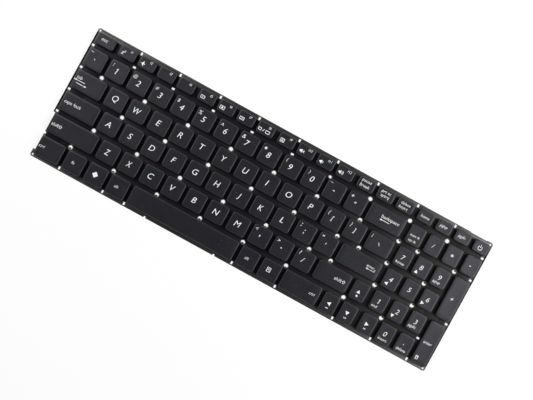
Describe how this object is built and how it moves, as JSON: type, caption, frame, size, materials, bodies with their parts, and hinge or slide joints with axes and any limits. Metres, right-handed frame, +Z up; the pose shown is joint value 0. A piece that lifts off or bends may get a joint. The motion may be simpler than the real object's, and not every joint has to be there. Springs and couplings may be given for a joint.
{
  "type": "laptop replacement keyboard",
  "caption": "Flat laptop keyboard module with a number pad: low key caps on scissor links over a film switch sheet and a punched metal plate.",
  "frame": {"origin": "middle of the plate's outline, on its underside", "axes": "+X along the rows towards the number pad, +Y towards the function row, +Z up through the caps"},
  "size_m": [0.343, 0.1108, 0.0052],
  "materials": {
    "cap": "fine matt texture",
    "plate": "black coated sheet steel",
    "film": "satin black film",
    "link": "natural moulded plastic",
    "dome": "translucent silicone"
  },
  "bodies": {
    "base": {"base_plate": "plate", "switch_film": "film", "scissor_links": "link", "rubber_domes": "dome", "function_row_keys": "cap", "number_pad_keys": "cap", "cursor_and_modifier_keys": "cap"},
    "key_1": {"key_1": "cap"},
    "key_2": {"key_2": "cap"},
    "key_3": {"key_3": "cap"},
    "key_4": {"key_4": "cap"},
    "key_5": {"key_5": "cap"},
    "key_6": {"key_6": "cap"},
    "key_7": {"key_7": "cap"},
    "key_8": {"key_8": "cap"},
    "key_9": {"key_9": "cap"},
    "key_0": {"key_0": "cap"},
    "key_q": {"key_q": "cap"},
    "key_w": {"key_w": "cap"},
    "key_e": {"key_e": "cap"},
    "key_r": {"key_r": "cap"},
    "key_t": {"key_t": "cap"},
    "key_y": {"key_y": "cap"},
    "key_u": {"key_u": "cap"},
    "key_i": {"key_i": "cap"},
    "key_o": {"key_o": "cap"},
    "key_p": {"key_p": "cap"},
    "key_a": {"key_a": "cap"},
    "key_s": {"key_s": "cap"},
    "key_d": {"key_d": "cap"},
    "key_f": {"key_f": "cap"},
    "key_g": {"key_g": "cap"},
    "key_h": {"key_h": "cap"},
    "key_j": {"key_j": "cap"},
    "key_k": {"key_k": "cap"},
    "key_l": {"key_l": "cap"},
    "key_z": {"key_z": "cap"},
    "key_x": {"key_x": "cap"},
    "key_c": {"key_c": "cap"},
    "key_v": {"key_v": "cap"},
    "key_b": {"key_b": "cap"},
    "key_n": {"key_n": "cap"},
    "key_m": {"key_m": "cap"},
    "key_grave": {"key_grave": "cap"},
    "key_minus": {"key_minus": "cap"},
    "key_equals": {"key_equals": "cap"},
    "key_backspace": {"key_backspace": "cap"},
    "key_tab": {"key_tab": "cap"},
    "key_left_bracket": {"key_left_bracket": "cap"},
    "key_right_bracket": {"key_right_bracket": "cap"},
    "key_backslash": {"key_backslash": "cap"},
    "key_semicolon": {"key_semicolon": "cap"},
    "key_apostrophe": {"key_apostrophe": "cap"},
    "key_enter": {"key_enter": "cap"},
    "key_left_shift": {"key_left_shift": "cap"},
    "key_comma": {"key_comma": "cap"},
    "key_period": {"key_period": "cap"},
    "key_slash": {"key_slash": "cap"},
    "key_right_shift": {"key_right_shift": "cap"},
    "key_space": {"key_space": "cap"}
  },
  "joints": [
    {"name": "press_1", "type": "slide", "parent": "base", "child": "key_1", "axis": [0, 0, -1], "range_m": [0, 0.0017], "stiffness_N_per_m": 150, "springref_m": -0.002, "deforming": ["scissor_links", "rubber_domes"]},
    {"name": "press_2", "type": "slide", "parent": "base", "child": "key_2", "axis": [0, 0, -1], "range_m": [0, 0.0017], "stiffness_N_per_m": 150, "springref_m": -0.002, "deforming": ["scissor_links", "rubber_domes"]},
    {"name": "press_3", "type": "slide", "parent": "base", "child": "key_3", "axis": [0, 0, -1], "range_m": [0, 0.0017], "stiffness_N_per_m": 150, "springref_m": -0.002, "deforming": ["scissor_links", "rubber_domes"]},
    {"name": "press_4", "type": "slide", "parent": "base", "child": "key_4", "axis": [0, 0, -1], "range_m": [0, 0.0017], "stiffness_N_per_m": 150, "springref_m": -0.002, "deforming": ["scissor_links", "rubber_domes"]},
    {"name": "press_5", "type": "slide", "parent": "base", "child": "key_5", "axis": [0, 0, -1], "range_m": [0, 0.0017], "stiffness_N_per_m": 150, "springref_m": -0.002, "deforming": ["scissor_links", "rubber_domes"]},
    {"name": "press_6", "type": "slide", "parent": "base", "child": "key_6", "axis": [0, 0, -1], "range_m": [0, 0.0017], "stiffness_N_per_m": 150, "springref_m": -0.002, "deforming": ["scissor_links", "rubber_domes"]},
    {"name": "press_7", "type": "slide", "parent": "base", "child": "key_7", "axis": [0, 0, -1], "range_m": [0, 0.0017], "stiffness_N_per_m": 150, "springref_m": -0.002, "deforming": ["scissor_links", "rubber_domes"]},
    {"name": "press_8", "type": "slide", "parent": "base", "child": "key_8", "axis": [0, 0, -1], "range_m": [0, 0.0017], "stiffness_N_per_m": 150, "springref_m": -0.002, "deforming": ["scissor_links", "rubber_domes"]},
    {"name": "press_9", "type": "slide", "parent": "base", "child": "key_9", "axis": [0, 0, -1], "range_m": [0, 0.0017], "stiffness_N_per_m": 150, "springref_m": -0.002, "deforming": ["scissor_links", "rubber_domes"]},
    {"name": "press_0", "type": "slide", "parent": "base", "child": "key_0", "axis": [0, 0, -1], "range_m": [0, 0.0017], "stiffness_N_per_m": 150, "springref_m": -0.002, "deforming": ["scissor_links", "rubber_domes"]},
    {"name": "press_q", "type": "slide", "parent": "base", "child": "key_q", "axis": [0, 0, -1], "range_m": [0, 0.0017], "stiffness_N_per_m": 150, "springref_m": -0.002, "deforming": ["scissor_links", "rubber_domes"]},
    {"name": "press_w", "type": "slide", "parent": "base", "child": "key_w", "axis": [0, 0, -1], "range_m": [0, 0.0017], "stiffness_N_per_m": 150, "springref_m": -0.002, "deforming": ["scissor_links", "rubber_domes"]},
    {"name": "press_e", "type": "slide", "parent": "base", "child": "key_e", "axis": [0, 0, -1], "range_m": [0, 0.0017], "stiffness_N_per_m": 150, "springref_m": -0.002, "deforming": ["scissor_links", "rubber_domes"]},
    {"name": "press_r", "type": "slide", "parent": "base", "child": "key_r", "axis": [0, 0, -1], "range_m": [0, 0.0017], "stiffness_N_per_m": 150, "springref_m": -0.002, "deforming": ["scissor_links", "rubber_domes"]},
    {"name": "press_t", "type": "slide", "parent": "base", "child": "key_t", "axis": [0, 0, -1], "range_m": [0, 0.0017], "stiffness_N_per_m": 150, "springref_m": -0.002, "deforming": ["scissor_links", "rubber_domes"]},
    {"name": "press_y", "type": "slide", "parent": "base", "child": "key_y", "axis": [0, 0, -1], "range_m": [0, 0.0017], "stiffness_N_per_m": 150, "springref_m": -0.002, "deforming": ["scissor_links", "rubber_domes"]},
    {"name": "press_u", "type": "slide", "parent": "base", "child": "key_u", "axis": [0, 0, -1], "range_m": [0, 0.0017], "stiffness_N_per_m": 150, "springref_m": -0.002, "deforming": ["scissor_links", "rubber_domes"]},
    {"name": "press_i", "type": "slide", "parent": "base", "child": "key_i", "axis": [0, 0, -1], "range_m": [0, 0.0017], "stiffness_N_per_m": 150, "springref_m": -0.002, "deforming": ["scissor_links", "rubber_domes"]},
    {"name": "press_o", "type": "slide", "parent": "base", "child": "key_o", "axis": [0, 0, -1], "range_m": [0, 0.0017], "stiffness_N_per_m": 150, "springref_m": -0.002, "deforming": ["scissor_links", "rubber_domes"]},
    {"name": "press_p", "type": "slide", "parent": "base", "child": "key_p", "axis": [0, 0, -1], "range_m": [0, 0.0017], "stiffness_N_per_m": 150, "springref_m": -0.002, "deforming": ["scissor_links", "rubber_domes"]},
    {"name": "press_a", "type": "slide", "parent": "base", "child": "key_a", "axis": [0, 0, -1], "range_m": [0, 0.0017], "stiffness_N_per_m": 150, "springref_m": -0.002, "deforming": ["scissor_links", "rubber_domes"]},
    {"name": "press_s", "type": "slide", "parent": "base", "child": "key_s", "axis": [0, 0, -1], "range_m": [0, 0.0017], "stiffness_N_per_m": 150, "springref_m": -0.002, "deforming": ["scissor_links", "rubber_domes"]},
    {"name": "press_d", "type": "slide", "parent": "base", "child": "key_d", "axis": [0, 0, -1], "range_m": [0, 0.0017], "stiffness_N_per_m": 150, "springref_m": -0.002, "deforming": ["scissor_links", "rubber_domes"]},
    {"name": "press_f", "type": "slide", "parent": "base", "child": "key_f", "axis": [0, 0, -1], "range_m": [0, 0.0017], "stiffness_N_per_m": 150, "springref_m": -0.002, "deforming": ["scissor_links", "rubber_domes"]},
    {"name": "press_g", "type": "slide", "parent": "base", "child": "key_g", "axis": [0, 0, -1], "range_m": [0, 0.0017], "stiffness_N_per_m": 150, "springref_m": -0.002, "deforming": ["scissor_links", "rubber_domes"]},
    {"name": "press_h", "type": "slide", "parent": "base", "child": "key_h", "axis": [0, 0, -1], "range_m": [0, 0.0017], "stiffness_N_per_m": 150, "springref_m": -0.002, "deforming": ["scissor_links", "rubber_domes"]},
    {"name": "press_j", "type": "slide", "parent": "base", "child": "key_j", "axis": [0, 0, -1], "range_m": [0, 0.0017], "stiffness_N_per_m": 150, "springref_m": -0.002, "deforming": ["scissor_links", "rubber_domes"]},
    {"name": "press_k", "type": "slide", "parent": "base", "child": "key_k", "axis": [0, 0, -1], "range_m": [0, 0.0017], "stiffness_N_per_m": 150, "springref_m": -0.002, "deforming": ["scissor_links", "rubber_domes"]},
    {"name": "press_l", "type": "slide", "parent": "base", "child": "key_l", "axis": [0, 0, -1], "range_m": [0, 0.0017], "stiffness_N_per_m": 150, "springref_m": -0.002, "deforming": ["scissor_links", "rubber_domes"]},
    {"name": "press_z", "type": "slide", "parent": "base", "child": "key_z", "axis": [0, 0, -1], "range_m": [0, 0.0017], "stiffness_N_per_m": 150, "springref_m": -0.002, "deforming": ["scissor_links", "rubber_domes"]},
    {"name": "press_x", "type": "slide", "parent": "base", "child": "key_x", "axis": [0, 0, -1], "range_m": [0, 0.0017], "stiffness_N_per_m": 150, "springref_m": -0.002, "deforming": ["scissor_links", "rubber_domes"]},
    {"name": "press_c", "type": "slide", "parent": "base", "child": "key_c", "axis": [0, 0, -1], "range_m": [0, 0.0017], "stiffness_N_per_m": 150, "springref_m": -0.002, "deforming": ["scissor_links", "rubber_domes"]},
    {"name": "press_v", "type": "slide", "parent": "base", "child": "key_v", "axis": [0, 0, -1], "range_m": [0, 0.0017], "stiffness_N_per_m": 150, "springref_m": -0.002, "deforming": ["scissor_links", "rubber_domes"]},
    {"name": "press_b", "type": "slide", "parent": "base", "child": "key_b", "axis": [0, 0, -1], "range_m": [0, 0.0017], "stiffness_N_per_m": 150, "springref_m": -0.002, "deforming": ["scissor_links", "rubber_domes"]},
    {"name": "press_n", "type": "slide", "parent": "base", "child": "key_n", "axis": [0, 0, -1], "range_m": [0, 0.0017], "stiffness_N_per_m": 150, "springref_m": -0.002, "deforming": ["scissor_links", "rubber_domes"]},
    {"name": "press_m", "type": "slide", "parent": "base", "child": "key_m", "axis": [0, 0, -1], "range_m": [0, 0.0017], "stiffness_N_per_m": 150, "springref_m": -0.002, "deforming": ["scissor_links", "rubber_domes"]},
    {"name": "press_grave", "type": "slide", "parent": "base", "child": "key_grave", "axis": [0, 0, -1], "range_m": [0, 0.0017], "stiffness_N_per_m": 150, "springref_m": -0.002, "deforming": ["scissor_links", "rubber_domes"]},
    {"name": "press_minus", "type": "slide", "parent": "base", "child": "key_minus", "axis": [0, 0, -1], "range_m": [0, 0.0017], "stiffness_N_per_m": 150, "springref_m": -0.002, "deforming": ["scissor_links", "rubber_domes"]},
    {"name": "press_equals", "type": "slide", "parent": "base", "child": "key_equals", "axis": [0, 0, -1], "range_m": [0, 0.0017], "stiffness_N_per_m": 150, "springref_m": -0.002, "deforming": ["scissor_links", "rubber_domes"]},
    {"name": "press_backspace", "type": "slide", "parent": "base", "child": "key_backspace", "axis": [0, 0, -1], "range_m": [0, 0.0017], "stiffness_N_per_m": 150, "springref_m": -0.002, "deforming": ["scissor_links", "rubber_domes"]},
    {"name": "press_tab", "type": "slide", "parent": "base", "child": "key_tab", "axis": [0, 0, -1], "range_m": [0, 0.0017], "stiffness_N_per_m": 150, "springref_m": -0.002, "deforming": ["scissor_links", "rubber_domes"]},
    {"name": "press_left_bracket", "type": "slide", "parent": "base", "child": "key_left_bracket", "axis": [0, 0, -1], "range_m": [0, 0.0017], "stiffness_N_per_m": 150, "springref_m": -0.002, "deforming": ["scissor_links", "rubber_domes"]},
    {"name": "press_right_bracket", "type": "slide", "parent": "base", "child": "key_right_bracket", "axis": [0, 0, -1], "range_m": [0, 0.0017], "stiffness_N_per_m": 150, "springref_m": -0.002, "deforming": ["scissor_links", "rubber_domes"]},
    {"name": "press_backslash", "type": "slide", "parent": "base", "child": "key_backslash", "axis": [0, 0, -1], "range_m": [0, 0.0017], "stiffness_N_per_m": 150, "springref_m": -0.002, "deforming": ["scissor_links", "rubber_domes"]},
    {"name": "press_semicolon", "type": "slide", "parent": "base", "child": "key_semicolon", "axis": [0, 0, -1], "range_m": [0, 0.0017], "stiffness_N_per_m": 150, "springref_m": -0.002, "deforming": ["scissor_links", "rubber_domes"]},
    {"name": "press_apostrophe", "type": "slide", "parent": "base", "child": "key_apostrophe", "axis": [0, 0, -1], "range_m": [0, 0.0017], "stiffness_N_per_m": 150, "springref_m": -0.002, "deforming": ["scissor_links", "rubber_domes"]},
    {"name": "press_enter", "type": "slide", "parent": "base", "child": "key_enter", "axis": [0, 0, -1], "range_m": [0, 0.0017], "stiffness_N_per_m": 150, "springref_m": -0.002, "deforming": ["scissor_links", "rubber_domes"]},
    {"name": "press_left_shift", "type": "slide", "parent": "base", "child": "key_left_shift", "axis": [0, 0, -1], "range_m": [0, 0.0017], "stiffness_N_per_m": 150, "springref_m": -0.002, "deforming": ["scissor_links", "rubber_domes"]},
    {"name": "press_comma", "type": "slide", "parent": "base", "child": "key_comma", "axis": [0, 0, -1], "range_m": [0, 0.0017], "stiffness_N_per_m": 150, "springref_m": -0.002, "deforming": ["scissor_links", "rubber_domes"]},
    {"name": "press_period", "type": "slide", "parent": "base", "child": "key_period", "axis": [0, 0, -1], "range_m": [0, 0.0017], "stiffness_N_per_m": 150, "springref_m": -0.002, "deforming": ["scissor_links", "rubber_domes"]},
    {"name": "press_slash", "type": "slide", "parent": "base", "child": "key_slash", "axis": [0, 0, -1], "range_m": [0, 0.0017], "stiffness_N_per_m": 150, "springref_m": -0.002, "deforming": ["scissor_links", "rubber_domes"]},
    {"name": "press_right_shift", "type": "slide", "parent": "base", "child": "key_right_shift", "axis": [0, 0, -1], "range_m": [0, 0.0017], "stiffness_N_per_m": 150, "springref_m": -0.002, "deforming": ["scissor_links", "rubber_domes"]},
    {"name": "press_space", "type": "slide", "parent": "base", "child": "key_space", "axis": [0, 0, -1], "range_m": [0, 0.0017], "stiffness_N_per_m": 150, "springref_m": -0.002, "deforming": ["scissor_links", "rubber_domes"]}
  ]
}
